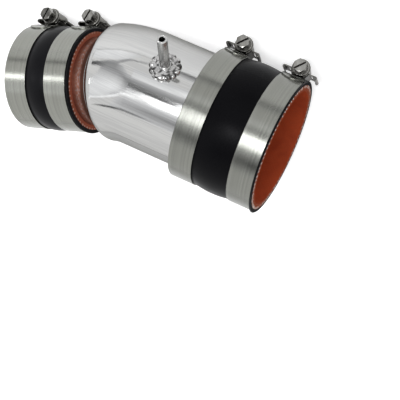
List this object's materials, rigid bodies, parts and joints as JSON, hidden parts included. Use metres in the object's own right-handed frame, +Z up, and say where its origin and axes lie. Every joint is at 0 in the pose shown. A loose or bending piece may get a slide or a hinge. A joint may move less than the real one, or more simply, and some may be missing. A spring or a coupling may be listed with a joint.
{
  "type": "turbo pipe",
  "caption": "Reducing elbow pipe with a radial vacuum nipple, a hose coupler on each open end and worm drive clamps round each coupler.",
  "frame": {"origin": "Centre of the large coupler's open end face.", "axes": "+X runs from the small end toward the large open end, along the longest extent of the part at rest; the large bore's axis leans up from it by 3.2 degrees. +Z is up, with the part lying on its side. The small end bends away toward -Y."},
  "size_m": [0.1949, 0.1222, 0.0912],
  "materials": {
    "polished_pipe": "polished tube with fine lengthways lines",
    "turned_nipple": "drawn tube, plain",
    "weld": "bright ripples",
    "silicone": "black, smooth, with an orange lining in the bore",
    "clamp_band": "rolled stainless strip",
    "clamp_saddle": "pressed stainless sheet",
    "worm_housing": "drawn stainless, bright",
    "worm_screw": "zinc plated, bright"
  },
  "bodies": {
    "root": {"aluminium_pipe": "polished_pipe", "vacuum_nipple": "turned_nipple", "nipple_weld": "weld", "small_coupler": "silicone", "large_coupler": "silicone", "small_outer_clamp_band": "clamp_band", "small_outer_clamp_saddle": "clamp_saddle", "small_outer_clamp_housing": "worm_housing", "small_outer_clamp_screw": "worm_screw", "small_inner_clamp_band": "clamp_band", "small_inner_clamp_saddle": "clamp_saddle", "small_inner_clamp_housing": "worm_housing", "small_inner_clamp_screw": "worm_screw", "large_inner_clamp_band": "clamp_band", "large_inner_clamp_saddle": "clamp_saddle", "large_inner_clamp_housing": "worm_housing", "large_inner_clamp_screw": "worm_screw", "large_outer_clamp_band": "clamp_band", "large_outer_clamp_saddle": "clamp_saddle", "large_outer_clamp_housing": "worm_housing", "large_outer_clamp_screw": "worm_screw"}
  },
  "joints": []
}
